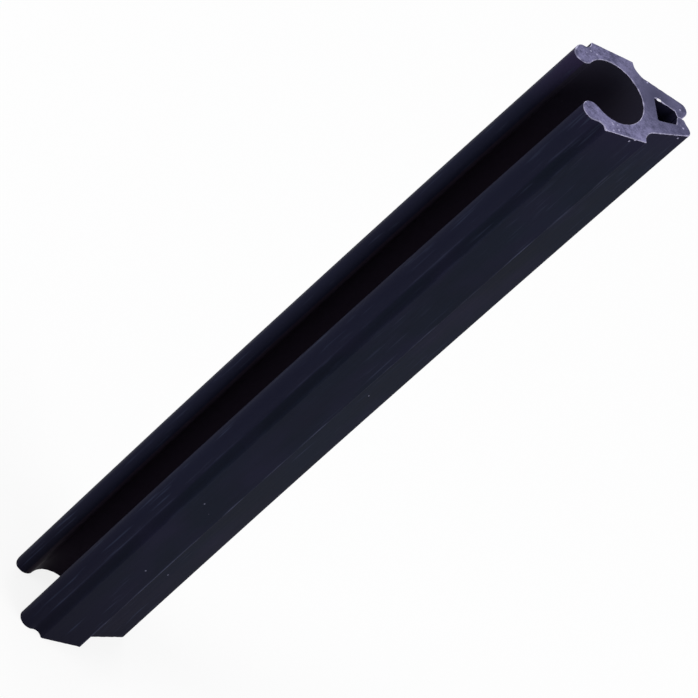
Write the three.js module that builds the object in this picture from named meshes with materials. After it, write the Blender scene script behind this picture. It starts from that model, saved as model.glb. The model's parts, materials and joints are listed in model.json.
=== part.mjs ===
// Pick holder for a microphone stand: a straight strip of black flexible vinyl, cut from an extrusion.
// One side of its section is a C-shaped clip that snaps onto the stand's tube. The other side is a
// pair of jaws that nip the points of guitar picks in a slot as long as the strip.
//
// The strip is one extrusion, and it works by flexing. The clip's arms bend outwards at the neck, the
// thinnest place between the clip and the jaws, and the jaws bend outwards at the corners of their
// pocket. So it is built as five members with a narrow slit at each place that bends: the spine,
// which lies between the bore and the pocket and never moves, two clip arms and two jaws.
//
// Units are millimetres. Z runs along the strip and is the tube's axis. X points from the clip to the
// jaws, and the section is the same on both sides of the plane y = 0. The origin is on the tube's
// axis, at the lower cut end.

import * as THREE from "three";

// Driving dimensions

const LENGTH = 203.2; // eight inches between two saw cuts

const TUBE_DIAMETER = 15.88; // the stand's upper tube, 5/8 in across
const TUBE_CLEARANCE = 0.06; // all round the tube, with the clip relaxed

const ARM_WALL = 3.5; // from the bore to the flat flank, at the flank's mouth end
const FLANK_TILT = 4.8; // degrees by which each flank closes towards the jaws
const MOUTH_WIDTH = 10.1; // between the beads that edge the arms
const BEAD_RADIUS = 2.4;
const THROAT_SPAN = 53; // degrees of bore over which it narrows to the bead
const GROOVE_RADIUS = 1.6; // hollow between the bead and the flank
const GROOVE_LEAN = 15; // degrees by which the hollow lies back from the top of the bead

const SPINE_WALL = 3.4; // between the bore and the pocket
const NECK_WALL = 3.35; // between the bore and the neck's hollow
const NECK_RADIUS = 3.5; // the hollow between the flank and the jaw

const POCKET_HEIGHT = 6.1; // inside the jaws, at the spine
const POCKET_DEPTH = 5.55; // from the spine to the lips
const JAW_WALL = 3.3;
const JAW_ANGLE = 17; // degrees by which each jaw closes towards its lip
const LIP_LEAN = 15; // degrees by which the lip's inner face leans back
const LIP_LAND = 1.25; // flat of the lip, which grips the pick
const LIP_GAP = 0.3; // between the two lips
const NOSE_RADIUS = 1.8; // round front of each jaw
const NOSE_LEAD = 0.15; // from the centre of the nose to the front of the land

const SLIT = 0.3; // between the spine and each member that bends away from it

const FACET_SAG = 0.01; // how far a facet may cut inside its arc
const COINCIDENT = 1e-6; // points closer than this are one

const VINYL = { color: "#1c1e28", roughness: 0.5, metalness: 0 };

// Plane geometry. A point is a THREE.Vector2 in the plane of the section, and angles are in radians.

const at = (x, y) => new THREE.Vector2(x, y);
const radians = THREE.MathUtils.degToRad;
const mirrored = (point) => at(point.x, -point.y);
const angleTo = (from, to) => Math.atan2(to.y - from.y, to.x - from.x);
const onCircle = (centre, radius, angle) =>
  at(Math.cos(angle), Math.sin(angle)).multiplyScalar(radius).add(centre);

// Points along an arc, both ends included. It turns anticlockwise where the angle grows.
function arc(centre, radius, from, to) {
  const facetAngle = 2 * Math.acos(1 - FACET_SAG / radius);
  const facets = Math.ceil(Math.abs(to - from) / facetAngle);
  return Array.from({ length: facets + 1 }, (_, i) =>
    onCircle(centre, radius, from + ((to - from) * i) / facets),
  );
}

// A closed shape from stretches of points. Where two stretches meet in one point, it is kept once.
function closedShape(stretches) {
  const points = stretches.flat();
  const isNew = (point, i) => point.distanceTo(points.at(i - 1)) > COINCIDENT;
  return new THREE.Shape(points.filter(isNew));
}

// What the section is drawn from, on the side where y is positive

const BORE_RADIUS = TUBE_DIAMETER / 2 + TUBE_CLEARANCE;
const boreAxis = at(0, 0);

const jawWay = at(Math.cos(radians(JAW_ANGLE)), -Math.sin(radians(JAW_ANGLE)));
const jawOut = at(-jawWay.y, jawWay.x);
const jawOutAngle = jawOut.angle();
const pocketCorner = at(BORE_RADIUS + SPINE_WALL, POCKET_HEIGHT / 2);
const jawRoot = pocketCorner.clone().addScaledVector(jawOut, JAW_WALL);

const bead = beadCentre();
const throat = throatArc();
const groove = onCircle(bead, BEAD_RADIUS + GROOVE_RADIUS, radians(90 - GROOVE_LEAN));
const neck = neckCentre();
const neckAngle = angleTo(boreAxis, neck);

// The bead ends the arm's middle line, at the height that the mouth asks for.
function beadCentre() {
  const middle = BORE_RADIUS + ARM_WALL / 2;
  const height = MOUTH_WIDTH / 2 + BEAD_RADIUS;
  return at(-Math.sqrt(middle ** 2 - height ** 2), height);
}

// The arc that narrows the bore to its mouth. It leaves the bore's circle smoothly and is tangent to
// the bead from outside.
function throatArc() {
  const start = angleTo(boreAxis, bead) - radians(THROAT_SPAN);
  const beadAlong = bead.length() * Math.cos(radians(THROAT_SPAN));
  const beadPower = bead.lengthSq() - BEAD_RADIUS ** 2;
  const radius =
    (BORE_RADIUS ** 2 + beadPower - 2 * beadAlong * BORE_RADIUS) /
    (2 * (BORE_RADIUS + BEAD_RADIUS - beadAlong));
  const centre = onCircle(boreAxis, BORE_RADIUS - radius, start);
  return { centre, radius, start, end: angleTo(centre, bead) };
}

// The neck's hollow is tangent to the jaw's outer face and leaves the neck's wall round the bore.
function neckCentre() {
  const outwards = jawRoot.dot(jawOut) + NECK_RADIUS;
  const fromBore = BORE_RADIUS + NECK_WALL + NECK_RADIUS;
  const alongJaw = Math.sqrt(fromBore ** 2 - outwards ** 2);
  return at(0, 0).addScaledVector(jawOut, outwards).addScaledVector(jawWay, alongJaw);
}

// How high the flat flank stands at x.
function flankHeight(x) {
  const mouthEnd = groove.x + GROOVE_RADIUS;
  return BORE_RADIUS + ARM_WALL - (x - mouthEnd) * Math.tan(radians(FLANK_TILT));
}

// Where a hollow's wall comes up to the flank, on the side of the hollow that points along +X (1) or
// -X (-1). The wall rises square from the hollow's side, or the arc stops early at a low flank.
function flankEdge(centre, radius, side) {
  const height = flankHeight(centre.x + side * radius);
  const below = THREE.MathUtils.clamp(centre.y - height, 0, radius);
  const across = side * Math.sqrt(radius ** 2 - below ** 2);
  return { angle: Math.atan2(-below, across), point: at(centre.x + across, height) };
}

// Half the angle that a slit takes out of a circle that it crosses.
const halfSlitAngle = (radius) => Math.asin(SLIT / 2 / radius);

// The spine, from the bore out to the pocket, with the root of each jaw and half of each neck.
function spineSection() {
  const boreEnd = neckAngle - halfSlitAngle(BORE_RADIUS);
  const neckStart = neckAngle + Math.PI + halfSlitAngle(NECK_RADIUS);
  const neckEnd = jawOutAngle + Math.PI;
  return closedShape([
    arc(boreAxis, BORE_RADIUS, -boreEnd, boreEnd),
    arc(neck, NECK_RADIUS, neckStart, neckEnd),
    [jawRoot, pocketCorner, mirrored(pocketCorner), mirrored(jawRoot)],
    arc(mirrored(neck), NECK_RADIUS, -neckEnd, -neckStart),
  ]);
}

// A clip arm, from the neck round the bore to its bead and back along the flank.
function armSection() {
  const boreStart = neckAngle + halfSlitAngle(BORE_RADIUS);
  const beadTop = groove.clone().sub(bead).angle();
  const beadStart = throat.end + Math.PI;
  const grooveEdge = flankEdge(groove, GROOVE_RADIUS, 1);
  const neckEdge = flankEdge(neck, NECK_RADIUS, -1);
  const neckStart = (neckEdge.angle + 2 * Math.PI) % (2 * Math.PI);
  const neckEnd = neckAngle + Math.PI - halfSlitAngle(NECK_RADIUS);
  return closedShape([
    arc(boreAxis, BORE_RADIUS, boreStart, throat.start),
    arc(throat.centre, throat.radius, throat.start, throat.end),
    arc(bead, BEAD_RADIUS, beadStart, beadTop),
    arc(groove, GROOVE_RADIUS, beadTop - Math.PI, grooveEdge.angle),
    [grooveEdge.point, neckEdge.point],
    arc(neck, NECK_RADIUS, neckStart, neckEnd),
  ]);
}

// A jaw, from the slit at its root to the lip and the nose.
function jawSection() {
  const root = pocketCorner.clone().addScaledVector(jawWay, SLIT);
  const rootOutside = jawRoot.clone().addScaledVector(jawWay, SLIT);
  const landBack = at(pocketCorner.x + POCKET_DEPTH, LIP_GAP / 2);
  const landFront = at(landBack.x + LIP_LAND, LIP_GAP / 2);
  const nose = noseRound(landFront);
  const leadAngle = angleTo(nose.centre, landFront);
  const leadStart = leadAngle + Math.acos(nose.radius / nose.centre.distanceTo(landFront));
  return closedShape([
    [root, lipInnerCorner(landBack), landBack, landFront],
    arc(nose.centre, nose.radius, leadStart, jawOutAngle),
    [rootOutside],
  ]);
}

// Where the lip's leaning inner face meets the jaw's inner face.
function lipInnerCorner(landBack) {
  const lean = Math.tan(radians(LIP_LEAN));
  const fall = Math.tan(radians(JAW_ANGLE));
  const run = (POCKET_DEPTH - (pocketCorner.y - landBack.y) * lean) / (1 - fall * lean);
  return at(pocketCorner.x + run, pocketCorner.y - run * fall);
}

// The nose is tangent to the jaw's outer face, and no rounder than the lip is thick.
function noseRound(landFront) {
  const x = landFront.x - NOSE_LEAD;
  const outerHeight = (jawRoot.dot(jawOut) - x * jawOut.x) / jawOut.y;
  const roundest = (outerHeight - landFront.y) / (1 + 1 / jawOut.y);
  const radius = Math.min(NOSE_RADIUS, roundest);
  return { radius, centre: at(x, outerHeight - radius / jawOut.y) };
}

// One member of the strip, as long as the strip.
function member(name, section) {
  const geometry = new THREE.ExtrudeGeometry(section, { depth: LENGTH, bevelEnabled: false });
  const mesh = new THREE.Mesh(geometry, new THREE.MeshStandardMaterial(VINYL));
  mesh.name = name;
  return mesh;
}

// Turns a member end for end about X, so that it lies on the side where y is negative.
function turnedOver(mesh) {
  mesh.rotation.x = Math.PI;
  mesh.position.z = LENGTH;
  return mesh;
}

const pickHolder = new THREE.Group();
pickHolder.add(member("spine", spineSection()));
pickHolder.add(member("rear_clip_arm", armSection()));
pickHolder.add(turnedOver(member("front_clip_arm", armSection())));
pickHolder.add(member("rear_jaw", jawSection()));
pickHolder.add(turnedOver(member("front_jaw", jawSection())));

export default pickHolder;
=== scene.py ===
"""Looks of a pick holder for a microphone stand: a sawn length of black flexible vinyl extrusion.

One side of the section is a C-shaped clip that grips the stand's tube, and the other side is a pair
of jaws that nip guitar picks. The strip is one extrusion that flexes at four places, so its skin is
built as five members that meet without a gap: the spine, two clip arms and two jaws.

Sizes of the strip are in millimetres until a mesh is written, and Blender's units are metres. Z runs
along the strip, X points from the clip to the jaws, and the section is the same on both sides of the
plane y = 0, apart from the flat on one bead and the shape of one jaw's tip. The rear is where y is
positive, and the front is where it is negative.
"""

import json
import logging
import math
from collections.abc import Iterable
from dataclasses import dataclass
from enum import Enum
from functools import cached_property

import bmesh
import bpy
import numpy as np
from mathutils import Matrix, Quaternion, Vector, noise


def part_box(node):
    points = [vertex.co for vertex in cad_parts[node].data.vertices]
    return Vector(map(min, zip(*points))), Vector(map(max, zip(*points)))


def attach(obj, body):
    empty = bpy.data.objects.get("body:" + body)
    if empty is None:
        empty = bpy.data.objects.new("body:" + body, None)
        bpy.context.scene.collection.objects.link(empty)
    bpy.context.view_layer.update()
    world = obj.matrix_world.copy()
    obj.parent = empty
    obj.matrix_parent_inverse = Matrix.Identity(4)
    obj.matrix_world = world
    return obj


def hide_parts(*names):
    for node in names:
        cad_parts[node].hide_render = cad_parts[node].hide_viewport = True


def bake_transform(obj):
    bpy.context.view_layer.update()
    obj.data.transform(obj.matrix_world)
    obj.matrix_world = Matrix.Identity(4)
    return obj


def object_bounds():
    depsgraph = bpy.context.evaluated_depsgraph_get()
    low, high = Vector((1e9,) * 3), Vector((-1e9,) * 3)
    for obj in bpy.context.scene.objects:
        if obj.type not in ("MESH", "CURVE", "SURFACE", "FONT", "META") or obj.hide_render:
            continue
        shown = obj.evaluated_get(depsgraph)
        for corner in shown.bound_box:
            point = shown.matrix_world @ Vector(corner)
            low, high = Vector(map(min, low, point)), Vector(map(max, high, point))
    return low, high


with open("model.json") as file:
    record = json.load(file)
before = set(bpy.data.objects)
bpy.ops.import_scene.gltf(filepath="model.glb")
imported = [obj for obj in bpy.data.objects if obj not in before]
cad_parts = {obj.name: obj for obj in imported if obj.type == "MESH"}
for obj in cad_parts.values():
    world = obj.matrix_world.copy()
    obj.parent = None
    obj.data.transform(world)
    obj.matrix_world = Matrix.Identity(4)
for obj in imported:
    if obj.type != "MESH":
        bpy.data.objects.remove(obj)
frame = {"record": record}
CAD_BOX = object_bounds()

log = logging.getLogger("pick_holder")

METRES_PER_MM = 0.001
TUBE_MOUNT = "stand_tube"
SHARP_ANGLE = math.radians(32)  # faces that meet at more than this shade as an edge
FACET_ANGLE = math.radians(18)  # the most that one facet of an arc turns

# Attributes that each mesh hands to its finish
PLACE = "place_mm"  # where a point lies on the strip at rest, in millimetres
WEAR_AND_HIGHLIGHT = "edge_wear_and_highlight"  # how pale an edge makes the point, from 0 to 1: partly wear from rubbing, partly painted highlight
BORE = "in_bore"  # 1 on the wall of the bore, which is coloured with painted light
BEAD = "on_bead"  # 1 on the beads, which the tube rubs

Colour = tuple[float, float, float, float]
Socket = bpy.types.NodeSocket
Tree = bpy.types.NodeTree


# Plane geometry of the section, with points as Vector2 in millimetres and angles in radians


def polar(angle: float, length: float = 1.0) -> Vector:
    """Returns the point at this angle and distance from the bore's axis."""
    return Vector((math.cos(angle), math.sin(angle))) * length


def angle_of(way: Vector) -> float:
    """Returns the angle of a direction, from -pi to pi."""
    return math.atan2(way.y, way.x)


def mirrored(points: Iterable[Vector]) -> list[Vector]:
    """Returns the same points on the other side of the plane y = 0."""
    return [Vector((p.x, -p.y)) for p in points]


def line(start: Vector, end: Vector, step: float) -> list[Vector]:
    """Divides a straight stretch.

    Args:
        start: First point.
        end: Last point.
        step: Longest piece to leave.

    Returns:
        The points from start to end, both included.
    """
    count = max(1, math.ceil((end - start).length / step))
    return [start.lerp(end, i / count) for i in range(count + 1)]


def arc(centre: Vector, radius: float, first: float, last: float, step: float) -> list[Vector]:
    """Divides an arc, which turns anticlockwise where the angle grows.

    Args:
        centre: Centre of the arc.
        radius: Radius of the arc.
        first: Angle at which it starts.
        last: Angle at which it ends.
        step: Longest piece to leave, which small rounds divide further.

    Returns:
        The points from the first angle to the last, both included.
    """
    fewest = math.ceil(abs(last - first) / FACET_ANGLE)
    count = max(fewest, math.ceil(abs(last - first) * radius / step))
    return [centre + polar(first + (last - first) * i / count, radius) for i in range(count + 1)]


def rounded(before: Vector, corner: Vector, after: Vector, radius: float, step: float) -> list[Vector]:
    """Rounds the corner between two straight stretches.

    Args:
        before: A point on the stretch that comes in.
        corner: Where the stretches would meet.
        after: A point on the stretch that goes out.
        radius: Radius of the round.
        step: Longest piece to leave.

    Returns:
        The points of the round, from the stretch that comes in to the one that goes out.
    """
    back = (before - corner).normalized()
    ahead = (after - corner).normalized()
    half = back.angle(ahead) / 2
    centre = corner + (back + ahead).normalized() * radius / math.sin(half)
    first = corner + back * radius / math.tan(half) - centre
    last = corner + ahead * radius / math.tan(half) - centre
    turn = first.angle_signed(last)
    return arc(centre, radius, angle_of(first), angle_of(first) - turn, step)


def enclosed_area(points: list[Vector]) -> float:
    """Returns the area inside a closed line, above 0 where the line runs anticlockwise."""
    following = points[1:] + points[:1]
    return sum(a.x * b.y - a.y * b.x for a, b in zip(points, following)) / 2


class Edge(Enum):
    """What a stretch of a member's outline is."""

    SKIN = "the outside of the strip"
    SEAM = "a plane inside the strip, where the next member goes on"


class Side(Enum):
    """The side of the plane y = 0 on which a member lies."""

    REAR = "rear"
    FRONT = "front"


Stretch = tuple[list[Vector], Edge]


@dataclass(frozen=True)
class JawTip:
    """How a jaw's tip differs from the die's drawing, in millimetres."""

    thinned: float = 0.0  # how far its inner face lies further out at the lip
    land_more: float = 0.0  # how much longer the lip's land is
    sharper: float = 0.0  # how much smaller the nose's radius is


@dataclass(frozen=True)
class WornHighlitEdge:
    """An edge along the strip that is paler, partly rubbed and partly a painted highlight, in millimetres.
    """

    place: Vector
    width: float
    strength: float

    def wear_and_highlight_at(self, point: np.ndarray) -> float:
        """Returns how pale the edge makes a point of the section, from 0 to its strength."""
        away = math.hypot(point[0] - self.place.x, point[1] - self.place.y) / self.width
        return self.strength * math.exp(-(away**2))


@dataclass(frozen=True)
class StripSection:
    """The section of the extrusion, and where its members meet.

    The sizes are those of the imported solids, in millimetres. The rounds on the corners, the narrower
    gap between the lips and the place of a bead's flat are the surface's own.
    """

    bore_radius: float
    arm_wall: float = 3.5
    flank_tilt: float = math.radians(4.8)
    mouth_width: float = 10.1
    bead_radius: float = 2.4
    throat_span: float = math.radians(53)
    groove_radius: float = 1.6
    groove_lean: float = math.radians(15)
    spine_wall: float = 3.4
    neck_wall: float = 3.35
    neck_radius: float = 3.5
    pocket_height: float = 6.1
    pocket_depth: float = 5.55
    jaw_wall: float = 3.3
    jaw_angle: float = math.radians(17)
    lip_lean: float = math.radians(15)
    lip_land: float = 1.25
    lip_gap: float = 0.06
    nose_radius: float = 1.8
    nose_lead: float = 0.15
    bead_flat_middle: float = math.radians(148)  # where round the bead its flat is deepest
    bead_flat_spread: float = math.radians(62)
    edge_round: float = 0.28
    pocket_round: float = 0.3
    lip_round: float = 0.18
    jaw_seam: float = 0.5  # from the pocket's corner to the seam
    margin: float = 0.1  # how far off the bore or a bead a point still counts as on it
    step: float = 0.32  # longest piece of an outline

    # Directions and corners of the rear side

    @property
    def jaw_way(self) -> Vector:
        """Direction in which the jaw runs."""
        return polar(-self.jaw_angle)

    @property
    def jaw_out(self) -> Vector:
        """Direction in which the jaw's outer face looks."""
        return polar(math.pi / 2 - self.jaw_angle)

    @property
    def pocket_corner(self) -> Vector:
        """Where the pocket's wall meets the jaw's inner face."""
        return Vector((self.bore_radius + self.spine_wall, self.pocket_height / 2))

    @property
    def jaw_seam_inside(self) -> Vector:
        """The seam of the jaw, on its inner face."""
        return self.pocket_corner + self.jaw_way * self.jaw_seam

    @property
    def jaw_seam_outside(self) -> Vector:
        """The seam of the jaw, on its outer face."""
        return self.jaw_seam_inside + self.jaw_out * self.jaw_wall

    @property
    def bead(self) -> Vector:
        """Centre of the bead.

        Returns:
            The point of the arm's middle line at the height that the mouth asks for.
        """
        middle = self.bore_radius + self.arm_wall / 2
        height = self.mouth_width / 2 + self.bead_radius
        return Vector((-math.sqrt(middle**2 - height**2), height))

    @property
    def bead_top(self) -> float:
        """Angle round the bead at which the groove starts."""
        return math.pi / 2 - self.groove_lean

    @property
    def groove(self) -> Vector:
        """Centre of the groove between the bead and the flank."""
        return self.bead + polar(self.bead_top, self.bead_radius + self.groove_radius)

    @property
    def neck(self) -> Vector:
        """Centre of the hollow between the flank and the jaw.

        Returns:
            The centre of a circle tangent to the jaw's outer face, a neck's wall away from the bore.
        """
        jaw_root = self.pocket_corner + self.jaw_out * self.jaw_wall
        outwards = jaw_root.dot(self.jaw_out) + self.neck_radius
        from_bore = self.bore_radius + self.neck_wall + self.neck_radius
        return self.jaw_out * outwards + self.jaw_way * math.sqrt(from_bore**2 - outwards**2)

    @property
    def neck_angle(self) -> float:
        """Angle round the bore at which the arm leaves the spine."""
        return angle_of(self.neck)

    @property
    def arm_seam_inside(self) -> Vector:
        """The seam of the arm, in the bore."""
        return polar(self.neck_angle, self.bore_radius)

    @property
    def arm_seam_outside(self) -> Vector:
        """The seam of the arm, in the neck's hollow."""
        return polar(self.neck_angle, self.bore_radius + self.neck_wall)

    def flank_height(self, x: float) -> float:
        """Returns how high the flat flank stands at x."""
        mouth_end = self.groove.x + self.groove_radius
        return self.bore_radius + self.arm_wall - (x - mouth_end) * math.tan(self.flank_tilt)

    def flank_round(self, hollow: Vector, radius: float, way: int) -> list[Vector]:
        """Rounds the edge where a hollow breaks through the flank.

        Args:
            hollow: Centre of the hollow.
            radius: Radius of the hollow.
            way: 1 for the hollow's edge towards +X, and -1 for its edge towards -X.

        Returns:
            The points of the round, from the hollow to the flank.
        """
        reach = radius + self.edge_round
        drop = self.edge_round / math.cos(self.flank_tilt)
        x = hollow.x + way * reach
        # The round's centre lies on the offsets of both the hollow and the flank, which slopes so
        # little that a few steps settle it.
        for _ in range(4):
            rise = self.flank_height(x) - drop - hollow.y
            x = hollow.x + way * math.sqrt(reach**2 - rise**2)
        centre = Vector((x, self.flank_height(x) - drop))
        first = angle_of(hollow - centre)
        last = math.pi / 2 - self.flank_tilt
        if way > 0:
            first %= 2 * math.pi
        return arc(centre, self.edge_round, first, last, self.step)

    def throat(self) -> list[Vector]:
        """Narrows the bore to its mouth.

        Returns:
            The points of an arc that is tangent to the bore at one end and to the bead at the other.
        """
        start = angle_of(self.bead) - self.throat_span
        along = self.bead.length * math.cos(self.throat_span)
        power = self.bead.length_squared - self.bead_radius**2
        radius = (self.bore_radius**2 + power - 2 * along * self.bore_radius) / (
            2 * (self.bore_radius + self.bead_radius - along)
        )
        centre = polar(start, self.bore_radius - radius)
        return arc(centre, radius, start, angle_of(self.bead - centre), self.step)

    def bead_outline(self, flat: float) -> list[Vector]:
        """Goes round the bead from the throat to the groove.

        Args:
            flat: How far the bead's outer side is flattened.

        Returns:
            The bead's points.
        """
        start = angle_of(self.throat()[-1] - self.bead) % (2 * math.pi)
        points = []
        for point in arc(self.bead, self.bead_radius, start, self.bead_top, self.step):
            turned = angle_of(point - self.bead) % (2 * math.pi)
            away = (turned - self.bead_flat_middle) / self.bead_flat_spread
            pressed = flat * math.cos(away * math.pi / 2) ** 2 if abs(away) < 1 else 0.0
            points.append(point + (self.bead - point).normalized() * pressed)
        return points

    # Outlines of the members on the rear side

    def arm(self, flat: float) -> list[Stretch]:
        """Outlines a clip arm.

        Args:
            flat: How far the bead's outer side is flattened.

        Returns:
            The stretches of its outline.
        """
        axis = Vector((0, 0))
        throat = self.throat()
        near_groove = self.flank_round(self.groove, self.groove_radius, 1)
        near_neck = self.flank_round(self.neck, self.neck_radius, -1)[::-1]
        groove_end = angle_of(near_groove[0] - self.groove)
        neck_start = angle_of(near_neck[-1] - self.neck) % (2 * math.pi)
        neck_end = self.neck_angle + math.pi
        skin = [
            arc(axis, self.bore_radius, self.neck_angle, angle_of(throat[0]), self.step),
            throat,
            self.bead_outline(flat),
            arc(self.groove, self.groove_radius, self.bead_top - math.pi, groove_end, self.step),
            near_groove,
            line(near_groove[-1], near_neck[0], self.step),
            near_neck,
            arc(self.neck, self.neck_radius, neck_start, neck_end, self.step),
        ]
        seam = line(self.arm_seam_outside, self.arm_seam_inside, self.step)
        return [(points, Edge.SKIN) for points in skin] + [(seam, Edge.SEAM)]

    def jaw(self, tip: JawTip) -> list[Stretch]:
        """Outlines a jaw.

        Args:
            tip: How its tip differs from the drawing.

        Returns:
            The stretches of its outline.
        """
        corner = self.pocket_corner
        back = Vector((corner.x + self.pocket_depth, self.lip_gap / 2))
        front = back + Vector((self.lip_land + tip.land_more, 0))
        lean = math.tan(self.lip_lean)
        fall = math.tan(self.jaw_angle)
        run = (self.pocket_depth - (corner.y - back.y) * lean) / (1 - fall * lean)
        inner = Vector((corner.x + run - tip.thinned * lean, corner.y - run * fall + tip.thinned))
        nose_radius = self.nose_radius - tip.sharper
        nose_x = back.x + self.lip_land - self.nose_lead + tip.sharper
        outer = (self.jaw_seam_outside.dot(self.jaw_out) - nose_x * self.jaw_out.x) / self.jaw_out.y
        nose = Vector((nose_x, outer - nose_radius / self.jaw_out.y))
        to_front = front - nose
        lead = angle_of(to_front) + math.acos(nose_radius / to_front.length)
        round_front = arc(nose, nose_radius, lead, angle_of(self.jaw_out), self.step)
        inner_round = rounded(self.jaw_seam_inside, inner, back, self.lip_round, self.step)
        back_round = rounded(inner, back, front, self.lip_round, self.step)
        front_round = rounded(back, front, round_front[0], self.lip_round, self.step)
        skin = [
            line(self.jaw_seam_inside, inner_round[0], self.step),
            inner_round,
            line(inner_round[-1], back_round[0], self.step),
            back_round,
            line(back_round[-1], front_round[0], self.step),
            front_round,
            line(front_round[-1], round_front[0], self.step),
            round_front,
            line(round_front[-1], self.jaw_seam_outside, self.step),
        ]
        seam = line(self.jaw_seam_outside, self.jaw_seam_inside, self.step)
        return [(points, Edge.SKIN) for points in skin] + [(seam, Edge.SEAM)]

    def spine(self) -> list[Stretch]:
        """Outlines the spine, which lies on both sides of the plane y = 0.

        Returns:
            The stretches of its outline.
        """
        below = Vector((self.pocket_corner.x, 0))
        pocket = rounded(self.jaw_seam_inside, self.pocket_corner, below, self.pocket_round, self.step)
        neck_start = self.neck_angle + math.pi
        neck_end = angle_of(self.jaw_out) + math.pi
        hollow = arc(self.neck, self.neck_radius, neck_start, neck_end, self.step)
        upper = [
            (line(self.arm_seam_inside, self.arm_seam_outside, self.step), Edge.SEAM),
            (hollow, Edge.SKIN),
            (line(hollow[-1], self.jaw_seam_outside, self.step), Edge.SKIN),
            (line(self.jaw_seam_outside, self.jaw_seam_inside, self.step), Edge.SEAM),
            (line(self.jaw_seam_inside, pocket[0], self.step), Edge.SKIN),
            (pocket, Edge.SKIN),
        ]
        lower = [(mirrored(points)[::-1], edge) for points, edge in reversed(upper)]
        wall = [(line(pocket[-1], mirrored(pocket)[-1], self.step), Edge.SKIN)]
        axis = Vector((0, 0))
        bore = arc(axis, self.bore_radius, -self.neck_angle, self.neck_angle, self.step)
        return [(bore, Edge.SKIN)] + upper + wall + lower

    # What the finishes need to know of the section

    @cached_property
    def worn_highlit_edges(self) -> list[WornHighlitEdge]:
        """The edges that are pale, with wear and painted highlight.

        Returns:
            The edges of the groove, of the neck and of the bead, on both sides.
        """
        near_groove = self.flank_round(self.groove, self.groove_radius, 1)
        near_neck = self.flank_round(self.neck, self.neck_radius, -1)
        bead_end = self.bead + polar(self.bead_top, self.bead_radius)
        rear = [
            WornHighlitEdge(near_groove[len(near_groove) // 2], 0.24, 0.15),
            WornHighlitEdge(near_neck[len(near_neck) // 2], 0.26, 1.0),
            WornHighlitEdge(bead_end, 0.22, 0.3),
        ]
        return rear + [WornHighlitEdge(mirrored([e.place])[0], e.width, e.strength) for e in rear]

    def marks_at(self, point: np.ndarray) -> dict[str, float]:
        """Tells the finishes what lies at a point of the section.

        Args:
            point: The point.

        Returns:
            The value of each attribute there, from 0 to 1.
        """
        from_bead = math.hypot(point[0] - self.bead.x, abs(point[1]) - self.bead.y)
        return {
            WEAR_AND_HIGHLIGHT: max(edge.wear_and_highlight_at(point) for edge in self.worn_highlit_edges),
            BORE: float(math.hypot(*point) < self.bore_radius + self.margin),
            BEAD: float(from_bead < self.bead_radius + self.margin),
        }


class Outline:
    """A closed line round a member's section, with the material on its left."""

    def __init__(self, stretches: list[Stretch]) -> None:
        """Joins stretches and turns them if the material would lie on their right.

        Args:
            stretches: The stretches, each of which starts where the last one ends.
        """
        if enclosed_area([p for points, _ in stretches for p in points]) < 0:
            stretches = [(points[::-1], edge) for points, edge in reversed(stretches)]
        kept = [(p, edge) for points, edge in stretches for p in points[:-1]]
        self.points = np.array([p for p, _ in kept], float)
        self.is_seam = np.array([edge is Edge.SEAM for _, edge in kept])

    def normals(self) -> tuple[np.ndarray, np.ndarray]:
        """Finds which way the outline's sides look.

        Returns:
            The outward normal of the side before each point, and of the side after it.
        """
        along = np.roll(self.points, -1, axis=0) - self.points
        along /= np.linalg.norm(along, axis=1)[:, None]
        after = np.stack([along[:, 1], -along[:, 0]], axis=1)
        return np.roll(after, 1, axis=0), after

    def inset(self) -> np.ndarray:
        """Finds how the points move when the skin moves in by 1 and the seams stay.

        Returns:
            The move of each point.
        """
        before, after = self.normals()
        seam_before = np.roll(self.is_seam, 1)
        moves = -(before + after) / (1 + np.sum(before * after, axis=1))[:, None]
        moves[seam_before & self.is_seam] = 0.0
        for i in np.flatnonzero(seam_before != self.is_seam):
            sides = np.array([before[i], after[i]])
            moves[i] = np.linalg.solve(sides, [seam_before[i] - 1.0, self.is_seam[i] - 1.0])
        return moves

    def outwards(self) -> np.ndarray:
        """Finds the direction in which relief stands proud.

        Returns:
            A unit vector for each point, or nothing where it lies on a seam.
        """
        before, after = self.normals()
        out = before + after
        out /= np.linalg.norm(out, axis=1)[:, None]
        out[self.is_seam | np.roll(self.is_seam, 1)] = 0.0
        return out


# Surface of the strip


@dataclass(frozen=True)
class Burr:
    """A pale crumb of vinyl that the saw left on the skin, in millimetres."""

    x: float
    y: float
    below_cut: float
    height: float
    radius: float


@dataclass(frozen=True)
class Chip:
    """A place where the saw broke the rim away and left a wider pale edge, in millimetres."""

    x: float
    y: float
    depth: float
    radius: float
    has_glint: bool = False

    def away(self, point: np.ndarray) -> float:
        """Returns how many times the chip's radius a point of the section lies from it."""
        return math.hypot(point[0] - self.x, point[1] - self.y) / self.radius


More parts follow.
